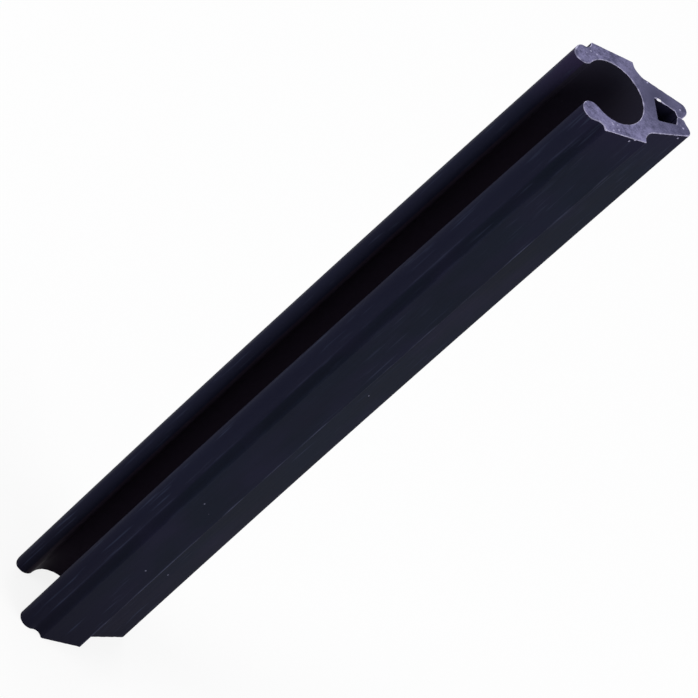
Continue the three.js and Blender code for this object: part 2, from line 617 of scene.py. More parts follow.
@dataclass(frozen=True)
class SawCut:
    """How the saw left an end of the strip, in millimetres."""

    edge: float = 0.14  # width of the burnished edge
    raggedness: float = 0.7  # share by which that width wanders
    wander_length: float = 1.1
    seed: float = 0.0
    burrs: tuple[Burr, ...] = ()
    chips: tuple[Chip, ...] = ()

    def edge_width(self, point: np.ndarray) -> float:
        """Measures the burnished edge, which wanders and is wider at a chip.

        Args:
            point: A point of the section.

        Returns:
            The edge's width there.
        """
        x, y = point / self.wander_length
        width = self.edge * (1 + self.raggedness * noise.noise((x, y, self.seed)))
        for chip in self.chips:
            width += chip.depth * math.exp(-(chip.away(point) ** 4))
        return width

    def has_glint(self, point: np.ndarray) -> bool:
        """Tells whether a point of the section lies in a chip's painted glint."""
        return any(chip.has_glint and chip.away(point) < 1 for chip in self.chips)

    def burr_height(self, point: np.ndarray, below_cut: float) -> float:
        """Measures how far the burrs lift the skin.

        Args:
            point: A point of the section.
            below_cut: How far from the cut the skin is looked at.

        Returns:
            The lift of the highest burr there.
        """
        lift = 0.0
        for burr in self.burrs:
            away = math.hypot(point[0] - burr.x, point[1] - burr.y, below_cut - burr.below_cut)
            lift = max(lift, burr.height * math.exp(-((away / burr.radius) ** 2)))
        return lift


LOWER_CUT = SawCut(seed=4.0)
UPPER_CUT = SawCut(
    burrs=(
        Burr(4.1, -10.85, 0.15, 0.1, 0.3),
        Burr(3.1, -10.95, 1.0, 0.13, 0.24),
        Burr(16.9, -4.8, 1.0, 0.12, 0.22),
    ),
    chips=(
        # this chip carries a painted glint
        Chip(12.6, 2.65, 0.16, 0.5, has_glint=True),
        Chip(-7.9, 8.6, 0.15, 1.7),
        Chip(-5.2, -11.3, 0.13, 1.7),
        Chip(-3.5, -11.2, 0.1, 0.45),
        Chip(15.6, -5.2, 0.1, 0.5),
    ),
)


@dataclass(frozen=True)
class Relief:
    """Unevenness that the die and the cooling bath left on the skin, in millimetres."""

    die_line_height: float = 0.012
    die_line_spacing: float = 0.7
    die_line_length: float = 90.0
    wave_height: float = 0.05
    wave_length: float = 60.0
    bow: tuple[float, float] = (-0.41, 0.37)  # how far the middle lies off the line of the ends

    def height(self, point: np.ndarray, z: float) -> float:
        """Returns how far the skin stands proud at a point of the section and a height z."""
        x, y = point / self.die_line_spacing
        return self.die_line_height * noise.noise((x, y, z / self.die_line_length))

    def wave(self, along: float, z: float) -> np.ndarray:
        """Returns how far the section lies off its line, at a height z and a share of the length."""
        drift = [noise.noise((shift, 0.5, z / self.wave_length)) for shift in (0.5, 7.5)]
        return np.array(drift) * self.wave_height + np.array(self.bow) * 4 * along * (1 - along)


class Finish(Enum):
    """The surfaces of the strip, each with the number of its slot on a mesh."""

    SKIN = 0
    CUT_FACE = 1
    CUT_EDGE = 2
    # the painted glint
    PAINTED_GLINT = 3


@dataclass(frozen=True)
class MemberBuilder:
    """Draws a member's outline out along the strip, between two sawn ends, in millimetres."""

    section: StripSection
    length: float
    relief: Relief = Relief()
    lower_cut: SawCut = LOWER_CUT
    upper_cut: SawCut = UPPER_CUT
    full_burr: float = 0.1  # the lift at which the skin counts as all burr
    stations_by_cut: tuple[float, ...] = (0.4, 0.6, 0.8, 1.0, 1.2, 1.4, 1.7, 2.2, 3.0)
    station_step: float = 4.0  # about how far apart the rings lie between those by the cuts

    def stations(self) -> list[float]:
        """Places the rings between the two burnished edges, close together by the cuts.

        Returns:
            The heights of the rings.
        """
        first = self.stations_by_cut[-1]
        spaces = round((self.length - 2 * first) / self.station_step)
        middle = np.linspace(first, self.length - first, spaces + 1)[1:-1]
        upper = [self.length - z for z in reversed(self.stations_by_cut)]
        return [*self.stations_by_cut, *middle, *upper]

    def cut_rings(self, outline: Outline, cut: SawCut, z: float, way: int) -> list[np.ndarray]:
        """Makes the two rings of a sawn end.

        Args:
            outline: The member's outline.
            cut: How the end was sawn.
            z: Height of the cut.
            way: 1 where the strip goes on upwards from the cut, and -1 where it goes down.

        Returns:
            The rim of the sawn face and the foot of its burnished edge.
        """
        widths = np.array([cut.edge_width(p) for p in outline.points])
        wave = self.relief.wave(z / self.length, z)
        rim = outline.points + outline.inset() * widths[:, None] + wave
        lifts = np.array([cut.burr_height(p, cut.edge) for p in outline.points])
        foot = outline.points + outline.outwards() * lifts[:, None] + wave
        return [
            np.column_stack([rim, np.full(len(rim), z)]),
            np.column_stack([foot, z + way * widths]),
        ]

    def ring(self, outline: Outline, z: float) -> np.ndarray:
        """Makes a ring of the skin between the sawn ends.

        Args:
            outline: The member's outline.
            z: Height of the ring.

        Returns:
            The ring's points.
        """
        lifts = []
        for point in outline.points:
            lift = self.relief.height(point, z)
            lift += self.lower_cut.burr_height(point, z)
            lift += self.upper_cut.burr_height(point, self.length - z)
            lifts.append(lift)
        wave = self.relief.wave(z / self.length, z)
        skin = outline.points + outline.outwards() * np.array(lifts)[:, None] + wave
        return np.column_stack([skin, np.full(len(skin), z)])

    def face_finish(self, layer: int, layers: int, corner: np.ndarray, burr: float) -> Finish:
        """Chooses the finish of a face between two rings.

        Args:
            layer: Which space between two rings it lies in, counted from the lower cut.
            layers: How many such spaces there are.
            corner: A corner of the face, as a point of the section.
            burr: How much of a burr the face carries, 0 on plain skin.

        Returns:
            The finish.
        """
        cuts = {0: self.lower_cut, layers - 1: self.upper_cut}
        # a chip's painted glint takes its own finish
        if layer in cuts and cuts[layer].has_glint(corner):
            return Finish.PAINTED_GLINT
        return Finish.CUT_EDGE if layer in cuts or burr > 0.5 else Finish.SKIN

    def build(self, name: str, outline: Outline) -> bpy.types.Object:
        """Makes a member's closed mesh.

        Args:
            name: Name of the object.
            outline: Outline of the member's section.

        Returns:
            The object, with each face's slot number for its finish and the attributes that the finishes
            read.
        """
        lower = self.cut_rings(outline, self.lower_cut, 0.0, 1)
        upper = self.cut_rings(outline, self.upper_cut, self.length, -1)
        rings = [*lower, *(self.ring(outline, z) for z in self.stations()), *reversed(upper)]
        count = len(outline.points)
        layers = len(rings) - 1
        points = np.concatenate(rings)
        burrs = self.burr_shares(points, np.tile(outline.points, (len(rings), 1)))
        faces = []
        finishes = []
        for layer in range(layers):
            for i in range(count):
                j = (i + 1) % count
                low = layer * count
                corners = (low + i, low + j, low + count + j, low + count + i)
                faces.append(corners)
                burr = burrs[list(corners)].mean()
                finishes.append(self.face_finish(layer, layers, outline.points[i], burr).value)
        faces.append(tuple(range(count - 1, -1, -1)))
        faces.append(tuple(range(layers * count, (layers + 1) * count)))
        finishes += [Finish.CUT_FACE.value] * 2
        mesh = bpy.data.meshes.new(name)
        mesh.from_pydata((points * METRES_PER_MM).tolist(), [], faces)
        mesh.polygons.foreach_set("material_index", finishes)
        mesh.polygons.foreach_set("use_smooth", [True] * (len(faces) - 2) + [False] * 2)
        place = mesh.attributes.new(PLACE, "FLOAT_VECTOR", "POINT")
        place.data.foreach_set("vector", points.ravel())
        marks = [self.section.marks_at(p) for p in outline.points]
        for attribute in (WEAR_AND_HIGHLIGHT, BORE, BEAD):
            values = [mark[attribute] for mark in marks] * len(rings)
            mesh.attributes.new(attribute, "FLOAT", "POINT").data.foreach_set("value", values)
        self.close_faces(mesh)
        made = bpy.data.objects.new(name, mesh)
        bpy.context.scene.collection.objects.link(made)
        return made

    def burr_shares(self, points: np.ndarray, section: np.ndarray) -> np.ndarray:
        """Finds how much of a burr each point of a mesh carries.

        Args:
            points: The mesh's points.
            section: The point of the section that each of them was drawn from.

        Returns:
            A share for each point, 0 on plain skin, and 1 or more on a burr.
        """
        lifts = [
            max(
                self.lower_cut.burr_height(place, z),
                self.upper_cut.burr_height(place, self.length - z),
            )
            for place, z in zip(section, points[:, 2])
        ]
        return np.array(lifts) / self.full_burr

    def close_faces(self, mesh: bpy.types.Mesh) -> None:
        """Divides the two sawn faces into triangles and marks the edges that shade sharp.

        Args:
            mesh: The member's mesh, whose other faces have four corners.
        """
        worked = bmesh.new()
        worked.from_mesh(mesh)
        caps = [face for face in worked.faces if len(face.verts) > 4]
        bmesh.ops.triangulate(worked, faces=caps, ngon_method="BEAUTY")
        worked.to_mesh(mesh)
        worked.free()
        mesh.set_sharp_from_angle(angle=SHARP_ANGLE)


# Finishes


def linear(code: str) -> Colour:
    """Turns an sRGB colour to linear values.

    Args:
        code: The colour as hex digits, such as "#1c1e28".

    Returns:
        Its red, green and blue from 0 to 1, and an alpha of 1.
    """
    channels = [int(code[i : i + 2], 16) / 255 for i in (1, 3, 5)]
    straight = [c / 12.92 if c <= 0.04045 else ((c + 0.055) / 1.055) ** 2.4 for c in channels]
    return (*straight, 1.0)


def add_node(
    tree: Tree,
    kind: str,
    inputs: dict[str, object] | None = None,
    **settings: object,
) -> bpy.types.Node:
    """Adds a node with its settings and links.

    Args:
        tree: The node tree.
        kind: Blender's name of the node's type.
        inputs: For each input, by identifier or name, a value or the socket that feeds it.
        settings: Values of the node's own properties.

    Returns:
        The node.
    """
    node = tree.nodes.new(kind)
    for name, value in settings.items():
        setattr(node, name, value)
    for name, value in (inputs or {}).items():
        socket = next(s for s in node.inputs if name in (s.identifier, s.name))
        if isinstance(value, Socket):
            tree.links.new(value, socket)
        else:
            socket.default_value = value
    return node


def new_material(name: str) -> tuple[bpy.types.Material, Tree]:
    """Makes a material without nodes.

    Args:
        name: Name of the material.

    Returns:
        The material and its node tree.
    """
    material = bpy.data.materials.new(name)
    material.use_nodes = True
    material.node_tree.nodes.clear()
    return material, material.node_tree


def spotted(
    tree: Tree, place: Socket, spacing_mm: float, share: float, fade: tuple[float, float]
) -> Socket:
    """Scatters spots over a surface.

    Args:
        tree: The material's node tree.
        place: The place on the strip in millimetres.
        spacing_mm: The usual distance between the places that can hold a spot.
        share: The share of those places that hold one.
        fade: Where a spot starts to fade and where it ends, as shares of the spacing.

    Returns:
        The share of the spots.
    """
    cells = add_node(tree, "ShaderNodeTexVoronoi", {"Vector": place, "Scale": 1 / spacing_mm})
    near = add_node(tree, "ShaderNodeMapRange",
                    {"Value": cells.outputs["Distance"], "From Min": fade[1], "From Max": fade[0]})
    chance = add_node(tree, "ShaderNodeSeparateColor", {"Color": cells.outputs["Color"]})
    held = add_node(tree, "ShaderNodeMath", {"Value": chance.outputs[0], "Value_001": 1 - share},
                    operation="GREATER_THAN")
    spots = add_node(tree, "ShaderNodeMath", {"Value": near.outputs[0], "Value_001": held.outputs[0]},
                     operation="MULTIPLY")
    return spots.outputs[0]


def patched(
    tree: Tree, place: Socket, size: float, detail: float, levels: tuple[float, float]
) -> Socket:
    """Spreads soft patches over a surface.

    Args:
        tree: The material's node tree.
        place: The place on the strip, drawn out where the patches are long.
        size: The usual size of a patch, in the units of the place.
        detail: How finely the patches break up.
        levels: The heights of the pattern at which a patch starts and is full.

    Returns:
        The share of the patches.
    """
    pattern = add_node(tree, "ShaderNodeTexNoise",
                       {"Vector": place, "Scale": 1 / size, "Detail": detail})
    patches = add_node(tree, "ShaderNodeMapRange",
                       {"Value": pattern.outputs["Fac"], "From Min": levels[0], "From Max": levels[1]})
    return patches.outputs[0]


def end_material(
    tree: Tree,
    ground: str,
    layers: Iterable[tuple[Socket, Colour | Socket]],
    gloss: dict[str, float | Socket],
    relief: Socket,
    strength: float,
    depth_mm: float,
) -> None:
    """Lays a material's colours one over another and ends it in a shader with a fine relief.

    Args:
        tree: The material's node tree.
        ground: The colour under all the layers, as hex digits.
        layers: For each layer, its share of what shows, and its colour.
        gloss: The shader's other inputs, by name.
        relief: The height of the relief, from 0 to 1.
        strength: How much of the relief shows.
        depth_mm: How high the relief is where it is 1.
    """
    colour = linear(ground)
    for share, over in layers:
        colour = add_node(tree, "ShaderNodeMix",
                          {"Factor_Float": share, "A_Color": colour, "B_Color": over},
                          data_type="RGBA").outputs[2]
    bump = add_node(tree, "ShaderNodeBump",
                    {"Height": relief, "Strength": strength, "Distance": depth_mm * METRES_PER_MM})
    shader = add_node(tree, "ShaderNodeBsdfPrincipled",
                      {"Base Color": colour, "Normal": bump.outputs[0], **gloss})
    add_node(tree, "ShaderNodeOutputMaterial", {"Surface": shader.outputs[0]})


@dataclass(frozen=True)
class ExtrudedVinyl:
    """Plasticised PVC as the die leaves it: blue-black and half matt, with lines along the strip.

    A shape is a mark's width over its length. Levels are the heights of a pattern, from 0 to 1, at
    which its marks start and are full.
    """

    body: str = "#181d2a"
    deep: str = "#11131e"
    cut_tones: tuple[str, str] = ("#161623", "#1b1a2c")  # by the lower cut, a painted shade that darkens the lower end; by the upper cut, violet
    # painted light on the rear bead by the upper cut
    rear_bead_light: str = "#272238"
    scuffed: str = "#262a3b"
    bore_painted_light: tuple[str, str] = ("#29222e", "#201f2a")  # painted light along the bore, and a darker tone of it by the upper cut
    # pale edge colour: partly wear, partly painted highlight
    wear_and_highlight: str = "#3a3d52"
    dust: str = "#6a6b80"
    roughness: tuple[float, float] = (0.42, 0.62)
    ior: float = 1.53
    specular: float = 0.012
    die_line_mm: float = 0.5
    die_line_shape: float = 0.006
    die_line_share: float = 0.35  # share of the die lines in the skin's tone, over the mottle
    mottle_mm: float = 14.0
    mottle_shape: float = 0.4
    tone_levels: tuple[float, float] = (0.3, 0.7)
    grain_mm: float = 0.35  # the real grain is finer than this, which is as coarse as it needs to show
    grain_share: float = 0.3  # share of the grain in the relief, over the die lines
    relief_mm: float = 0.04
    relief_strength: float = 0.5
    shade_and_violet_mm: tuple[float, float] = (45.0, 14.0)  # how far from the lower cut the painted shade reaches, and how far from the upper cut the violet reaches
    heat_patch_mm: float = 9.0
    heat_patch_levels: tuple[float, float] = (0.45, 0.7)
    heat_patch: float = 0.7  # how violet a patch is, where 1 is as violet as by the upper cut
    polish: float = 0.5  # how violet the beads are
    rear_bead_light_mm: float = 17.0  # how far from the upper cut
    scuff_mm: float = 0.6
    scuff_shape: float = 0.05
    scuff_slant: tuple[float, float, float] = (0.05, 0.03, 0.0)  # radians about each axis
    scuff_levels: tuple[float, float] = (0.62, 0.78)
    scuffed_patch_levels: tuple[float, float] = (0.46, 0.6)
    bore_light_fade_mm: float = 30.0  # how far from the upper cut
    dashes_per_mm: tuple[float, float] = (0.2, 0.07)  # across the strip and along it
    dash_levels: tuple[float, float] = (0.45, 0.62)
    speck_mm: float = 3.2
    speck_share: float = 0.07
    speck_fade: tuple[float, float] = (0.05, 0.075)

    def material(self, length: float) -> bpy.types.Material:
        """Makes the material of the strip's skin.

        Args:
            length: Length of the strip in millimetres.

        Returns:
            The material.
        """
        material, tree = new_material("extruded_black_vinyl")
        place = add_node(tree, "ShaderNodeAttribute", attribute_name=PLACE).outputs["Vector"]
        height = add_node(tree, "ShaderNodeSeparateXYZ", {"Vector": place}).outputs["Z"]
        on_bead = add_node(tree, "ShaderNodeAttribute", attribute_name=BEAD).outputs["Fac"]
        in_bore = add_node(tree, "ShaderNodeAttribute", attribute_name=BORE).outputs["Fac"]
        # Die lines: a fine comb of streaks that run the whole length, which gives the skin its grain.
        drawn = add_node(tree, "ShaderNodeVectorMath",
                         {"Vector": place, "Vector_001": (1, 1, self.die_line_shape)},
                         operation="MULTIPLY").outputs[0]
        lines = add_node(tree, "ShaderNodeTexNoise",
                         {"Vector": drawn, "Scale": 1 / self.die_line_mm, "Detail": 3.0,
                          "Roughness": 0.6}).outputs["Fac"]
        # Cooling marks: broad soft patches, longer than they are wide.
        drift = add_node(tree, "ShaderNodeVectorMath",
                         {"Vector": place, "Vector_001": (1, 1, self.mottle_shape)},
                         operation="MULTIPLY").outputs[0]
        mottle = add_node(tree, "ShaderNodeTexNoise",
                          {"Vector": drift, "Scale": 1 / self.mottle_mm, "Detail": 4.0,
                           "Roughness": 0.55}).outputs["Fac"]
        tone = add_node(tree, "ShaderNodeMix",
                        {"Factor_Float": self.die_line_share, "A_Float": mottle,
                         "B_Float": lines}).outputs["Result"]
        lowest, highest = self.tone_levels
        share = add_node(tree, "ShaderNodeMapRange",
                         {"Value": tone, "From Min": lowest, "From Max": highest}).outputs[0]
        # Painted shade: the skin darkens towards the lower cut.
        below = add_node(tree, "ShaderNodeMapRange",
                         {"Value": height, "From Min": self.shade_and_violet_mm[0], "From Max": 0.0}).outputs[0]
        dust = spotted(tree, place, self.speck_mm, self.speck_share, self.speck_fade)
        layers = (
            (share, linear(self.body)),
            (self.violet(tree, drift, height, length, on_bead), linear(self.cut_tones[1])),
            # painted shade towards the lower cut
            (below, linear(self.cut_tones[0])),
            # painted light: the rear bead is paler and more violet by the upper cut
            (self.painted_bead_light(tree, place, length, on_bead), linear(self.rear_bead_light)),
            (self.scuffs(tree, place, mottle, on_bead), linear(self.scuffed)),
            # painted light in the bore's shade
            (in_bore, self.bore_painted_light_colour(tree, height, length)),
            # pale edges, partly wear and partly painted highlight
            (self.wear_and_highlight_share(tree, place), linear(self.wear_and_highlight)),
            (dust, linear(self.dust)),
        )
        rough = add_node(tree, "ShaderNodeMapRange",
                         {"Value": tone, "From Min": lowest, "From Max": highest,
                          "To Min": self.roughness[0], "To Max": self.roughness[1]}).outputs[0]
        grain = add_node(tree, "ShaderNodeTexNoise",
                         {"Vector": place, "Scale": 1 / self.grain_mm, "Detail": 2.0}).outputs["Fac"]
        relief = add_node(tree, "ShaderNodeMix",
                          {"Factor_Float": self.grain_share, "A_Float": lines,
                           "B_Float": grain}).outputs["Result"]
        gloss = {"Roughness": rough, "IOR": self.ior, "Specular IOR Level": self.specular}
        end_material(tree, self.deep, layers, gloss, relief, self.relief_strength, self.relief_mm)
        return material

    def violet(
        self, tree: Tree, drift: Socket, height: Socket, length: float, on_bead: Socket
    ) -> Socket:
        """Finds where the skin is violet: by the upper cut, in patches, and on the beads.

        Args:
            tree: The material's node tree.
            drift: The place on the strip, drawn out for patches.
            height: The height on the strip in millimetres.
            length: Length of the strip in millimetres.
            on_bead: 1 on the beads.

        Returns:
            The share of violet.
        """
        above = add_node(tree, "ShaderNodeMapRange",
                         {"Value": height, "From Min": length - self.shade_and_violet_mm[1], "From Max": length})
        found = patched(tree, drift, self.heat_patch_mm, 2.0, self.heat_patch_levels)
        patches = add_node(tree, "ShaderNodeMath", {"Value": found, "Value_001": self.heat_patch},
                           operation="MULTIPLY")
        cut_tones = add_node(tree, "ShaderNodeMath",
                          {"Value": above.outputs[0], "Value_001": patches.outputs[0]},
                          operation="MAXIMUM")
        # The beads rub on the tube, which polishes them.
        polished = add_node(tree, "ShaderNodeMath", {"Value": on_bead, "Value_001": self.polish},
                            operation="MULTIPLY")
        most = add_node(tree, "ShaderNodeMath",
                        {"Value": cut_tones.outputs[0], "Value_001": polished.outputs[0]},
                        operation="MAXIMUM")
        return most.outputs[0]

    def painted_bead_light(self, tree: Tree, place: Socket, length: float, on_bead: Socket) -> Socket:
        """Finds the painted light on the rear bead by the upper cut, which makes it paler there.

        Args:
            tree: The material's node tree.
            place: The place on the strip in millimetres.
            length: Length of the strip in millimetres.
            on_bead: 1 on the beads.

        Returns:
            The share of the painted light.
        """
        apart = add_node(tree, "ShaderNodeSeparateXYZ", {"Vector": place})
        by_cut = add_node(tree, "ShaderNodeMapRange",
                          {"Value": apart.outputs["Z"], "From Min": length - self.rear_bead_light_mm,
                           "From Max": length})
        rear = add_node(tree, "ShaderNodeMath", {"Value": apart.outputs["Y"], "Value_001": 0.0},
                        operation="GREATER_THAN")
        rear_bead = add_node(tree, "ShaderNodeMath", {"Value": on_bead, "Value_001": rear.outputs[0]},
                             operation="MULTIPLY")
        share = add_node(tree, "ShaderNodeMath",
                         {"Value": by_cut.outputs[0], "Value_001": rear_bead.outputs[0]},
                         operation="MULTIPLY")
        return share.outputs[0]

    def scuffs(self, tree: Tree, place: Socket, mottle: Socket, on_bead: Socket) -> Socket:
        """Finds scuffs, long and a little aslant, where the strip slid over a bench or a tube.

        Args:
            tree: The material's node tree.
            place: The place on the strip in millimetres.
            mottle: Broad patches, some of which are scuffed.
            on_bead: 1 on the beads, which are scuffed all along.

        Returns:
            The share of the scuffs.
        """
        slant = add_node(tree, "ShaderNodeMapping",
                         {"Vector": place, "Rotation": self.scuff_slant,
                          "Scale": (1, 1, self.scuff_shape)})
        hairlines = patched(tree, slant.outputs[0], self.scuff_mm, 1.0, self.scuff_levels)
        lowest, highest = self.scuffed_patch_levels
        patches = add_node(tree, "ShaderNodeMapRange",
                           {"Value": mottle, "From Min": lowest, "From Max": highest})
        rubbed = add_node(tree, "ShaderNodeMath", {"Value": patches.outputs[0], "Value_001": on_bead},
                          operation="MAXIMUM")
        share = add_node(tree, "ShaderNodeMath", {"Value": hairlines, "Value_001": rubbed.outputs[0]},
                         operation="MULTIPLY")
        return share.outputs[0]

    def bore_painted_light_colour(self, tree: Tree, height: Socket, length: float) -> Socket:
        """Colours the bore with painted light and a brown cast: paler than the skin in the bore's shade,
        and less pale by the upper cut, where light comes in.

        Args:
            tree: The material's node tree.
            height: The height on the strip in millimetres.
            length: Length of the strip in millimetres.

        Returns:
            The colour.
        """
        by_cut = add_node(tree, "ShaderNodeMapRange",
                          {"Value": height, "From Min": length - self.bore_light_fade_mm, "From Max": length})
        colour = add_node(tree, "ShaderNodeMix",
                          {"Factor_Float": by_cut.outputs[0], "A_Color": linear(self.bore_painted_light[0]),
                           "B_Color": linear(self.bore_painted_light[1])}, data_type="RGBA")
        return colour.outputs[2]

    def wear_and_highlight_share(self, tree: Tree, place: Socket) -> Socket:
        """Finds where the edges are pale, in dashes a centimetre or so long: partly wear, partly painted
        highlight.

        Args:
            tree: The material's node tree.
            place: The place on the strip in millimetres.

        Returns:
            The share of the wear and painted highlight.
        """
        across, along = self.dashes_per_mm
        dashed = add_node(tree, "ShaderNodeVectorMath",
                          {"Vector": place, "Vector_001": (across, across, along)},
                          operation="MULTIPLY")
        dashes = patched(tree, dashed.outputs[0], 1.0, 2.0, self.dash_levels)
        edges = add_node(tree, "ShaderNodeAttribute", attribute_name=WEAR_AND_HIGHLIGHT)
        share = add_node(tree, "ShaderNodeMath",
                         {"Value": edges.outputs["Fac"], "Value_001": dashes}, operation="MULTIPLY")
        return share.outputs[0]


@dataclass(frozen=True)
class SawnVinyl:
    """The same vinyl where a saw went through it: greyed and matt, with marks of the teeth."""

    dark: str = "#41405f"
    pale: str = "#807da4"
    web: str = "#3d3d59"
    fleck: str = "#a8a5c6"
    roughness: float = 0.75
    specular: float = 0.2
    mottle_mm: float = 1.3
    patch_mm: float = 5.0
    patch_share: float = 0.4  # share of the patches in the grey, over the mottle
    tooth_mm: float = 0.7673  # the teeth's marks lie closer than this, which is as coarse as they show
    tooth_share: float = 0.02
    tear_mm: float = 0.4
    tear_share: float = 0.3
    grey_levels: tuple[float, float] = (0.39, 0.57)  # of the pattern, for the dark and the pale grey
    torn_relief: float = 0.85  # share of the tears in the relief, over the teeth's marks
    relief_mm: float = 0.05
    relief_strength: float = 0.6
    web_centre_mm: tuple[float, float] = (12.0, 3.0)
    web_mm: tuple[float, float] = (1.0, 13.0)  # how far it is all web, and where it ends
    fleck_mm: float = 1.3
    fleck_share: float = 0.28
    fleck_fade: tuple[float, float] = (0.1, 0.22)

    def material(self) -> bpy.types.Material:
        """Makes the material of the sawn faces.

        Returns:
            The material.
        """
        material, tree = new_material("sawn_vinyl")
        place = add_node(tree, "ShaderNodeAttribute", attribute_name=PLACE).outputs["Vector"]
        mottle = add_node(tree, "ShaderNodeTexNoise",
                          {"Vector": place, "Scale": 1 / self.mottle_mm, "Detail": 5.0,
                           "Roughness": 0.65}).outputs["Fac"]
        patch = add_node(tree, "ShaderNodeTexNoise",
                         {"Vector": place, "Scale": 1 / self.patch_mm, "Detail": 1.0}).outputs["Fac"]
        tears = add_node(tree, "ShaderNodeTexNoise",
                         {"Vector": place, "Scale": 1 / self.tear_mm, "Detail": 3.0,
                          "Roughness": 0.7}).outputs["Fac"]
        # The bands run aslant. Where their scale is 1, x + y grows by a tenth of tau from one to the next.
        band_scale = math.tau / 10 / (self.tooth_mm * math.sqrt(2))
        teeth = add_node(tree, "ShaderNodeTexWave",
                         {"Vector": place, "Scale": band_scale, "Distortion": 3.0, "Detail": 2.0,
                          "Detail Scale": 0.6}, bands_direction="DIAGONAL").outputs["Fac"]
        grey = mottle
        for share, over in (
            (self.patch_share, patch),
            (self.tooth_share, teeth),
            (self.tear_share, tears),
        ):
            grey = add_node(tree, "ShaderNodeMix",
                            {"Factor_Float": share, "A_Float": grey, "B_Float": over}).outputs["Result"]
        greyed = add_node(tree, "ShaderNodeMapRange",
                          {"Value": grey, "From Min": self.grey_levels[0],
                           "From Max": self.grey_levels[1]}).outputs[0]
        flecks = spotted(tree, place, self.fleck_mm, self.fleck_share, self.fleck_fade)
        layers = (
            (greyed, linear(self.pale)),
            (self.smooth(tree, place), linear(self.web)),
            (flecks, linear(self.fleck)),
        )
        relief = add_node(tree, "ShaderNodeMix",
                          {"Factor_Float": self.torn_relief, "A_Float": teeth,
                           "B_Float": tears}).outputs["Result"]
        gloss = {"Roughness": self.roughness, "Specular IOR Level": self.specular}
        end_material(tree, self.dark, layers, gloss, relief, self.relief_strength, self.relief_mm)
        return material

    def smooth(self, tree: Tree, place: Socket) -> Socket:
        """Finds the web between bore and pocket, which is cut smoother and stays darker.

        Args:
            tree: The material's node tree.
            place: The place on the strip in millimetres.

        Returns:
            The share of the web.
        """
        flat = add_node(tree, "ShaderNodeVectorMath", {"Vector": place, "Vector_001": (1, 1, 0)},
                        operation="MULTIPLY")
        away = add_node(tree, "ShaderNodeVectorMath",
                        {"Vector": flat.outputs[0], "Vector_001": (*self.web_centre_mm, 0)},
                        operation="DISTANCE")
        share = add_node(tree, "ShaderNodeMapRange",
                         {"Value": away.outputs["Value"], "From Min": self.web_mm[0],
                          "From Max": self.web_mm[1], "To Min": 1.0, "To Max": 0.0})
        return share.outputs[0]


@dataclass(frozen=True)
class BurnishedVinyl:
    """The rim of a saw cut, which the blade's heat smeared and left pale and a little shiny."""

    dull: str = "#5e5c78"
    pale: str = "#b4b0d0"
    roughness: float = 0.4
    specular: float = 0.35
    smear_mm: float = 1.3
    smear_levels: tuple[float, float] = (0.35, 0.65)  # of the pattern, for the dull and the pale
    relief_mm: float = 0.05
    relief_strength: float = 0.4

    def material(self) -> bpy.types.Material:
        """Makes the material of the burnished edges and of the burrs.

        Returns:
            The material.
        """
        material, tree = new_material("burnished_vinyl_edge")
        place = add_node(tree, "ShaderNodeAttribute", attribute_name=PLACE).outputs["Vector"]
        smear = add_node(tree, "ShaderNodeTexNoise",
                         {"Vector": place, "Scale": 1 / self.smear_mm, "Detail": 4.0,
                          "Roughness": 0.6}).outputs["Fac"]
        paled = add_node(tree, "ShaderNodeMapRange",
                         {"Value": smear, "From Min": self.smear_levels[0],
                          "From Max": self.smear_levels[1]}).outputs[0]
        layers = ((paled, linear(self.pale)),)
        gloss = {"Roughness": self.roughness, "Specular IOR Level": self.specular}
        end_material(tree, self.dull, layers, gloss, smear, self.relief_strength, self.relief_mm)
        return material


@dataclass(frozen=True)
class PaintedGlintVinyl:
    """A painted highlight: the white glint where a chip tore the rim."""

    white: str = "#f2f1f8"
    roughness: float = 0.45
    glint_grain_mm: float = 0.3
    relief_mm: float = 0.05
    relief_strength: float = 0.5

    def material(self) -> bpy.types.Material:
        """Makes the material of the torn places.

        Returns:
            The material.
        """
        material, tree = new_material("painted_glint_vinyl")
        place = add_node(tree, "ShaderNodeAttribute", attribute_name=PLACE).outputs["Vector"]
        glint_grain = add_node(tree, "ShaderNodeTexNoise",
                           {"Vector": place, "Scale": 1 / self.glint_grain_mm, "Detail": 2.0}).outputs["Fac"]
        gloss = {"Roughness": self.roughness}
        end_material(tree, self.white, (), gloss, glint_grain, self.relief_strength, self.relief_mm)
        return material


# Sub-assemblies


@dataclass(frozen=True)
class SubAssembly:
    """Members of the strip that work as one."""

    builder: MemberBuilder
    finishes: tuple[bpy.types.Material, ...]

    def dress(self, made: bpy.types.Object, node: str) -> bpy.types.Object:
        """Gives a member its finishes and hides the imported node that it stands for.

        Args:
            made: The member.
            node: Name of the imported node.

        Returns:
            The same member.
        """
        for finish in self.finishes:
            made.data.materials.append(finish)
        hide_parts(node)
        return made

    def build_bending(
        self, node: str, side: Side, stretches: list[Stretch], seam: Vector, reach: Vector
    ) -> bpy.types.Object:
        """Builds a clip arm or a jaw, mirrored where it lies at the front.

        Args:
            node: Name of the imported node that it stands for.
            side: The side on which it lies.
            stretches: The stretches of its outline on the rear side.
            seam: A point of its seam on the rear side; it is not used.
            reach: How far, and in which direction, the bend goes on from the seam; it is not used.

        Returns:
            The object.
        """
        if side is Side.FRONT:
            stretches = [(mirrored(points), edge) for points, edge in stretches]
            seam, reach = mirrored([seam, reach])
        made = self.builder.build(f"{node}_vinyl", Outline(stretches))
        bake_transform(made)
        return self.dress(made, node)


@dataclass(frozen=True)
class Spine(SubAssembly):
    """The web between the bore and the pocket, with the roots of the jaws."""

    def build(self) -> list[bpy.types.Object]:
        """Builds the spine, which rides on its own body.

        Returns:
            The spine alone.
        """
        made = self.builder.build("spine_vinyl", Outline(self.builder.section.spine()))
        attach(made, "spine")
        return [self.dress(made, "spine")]


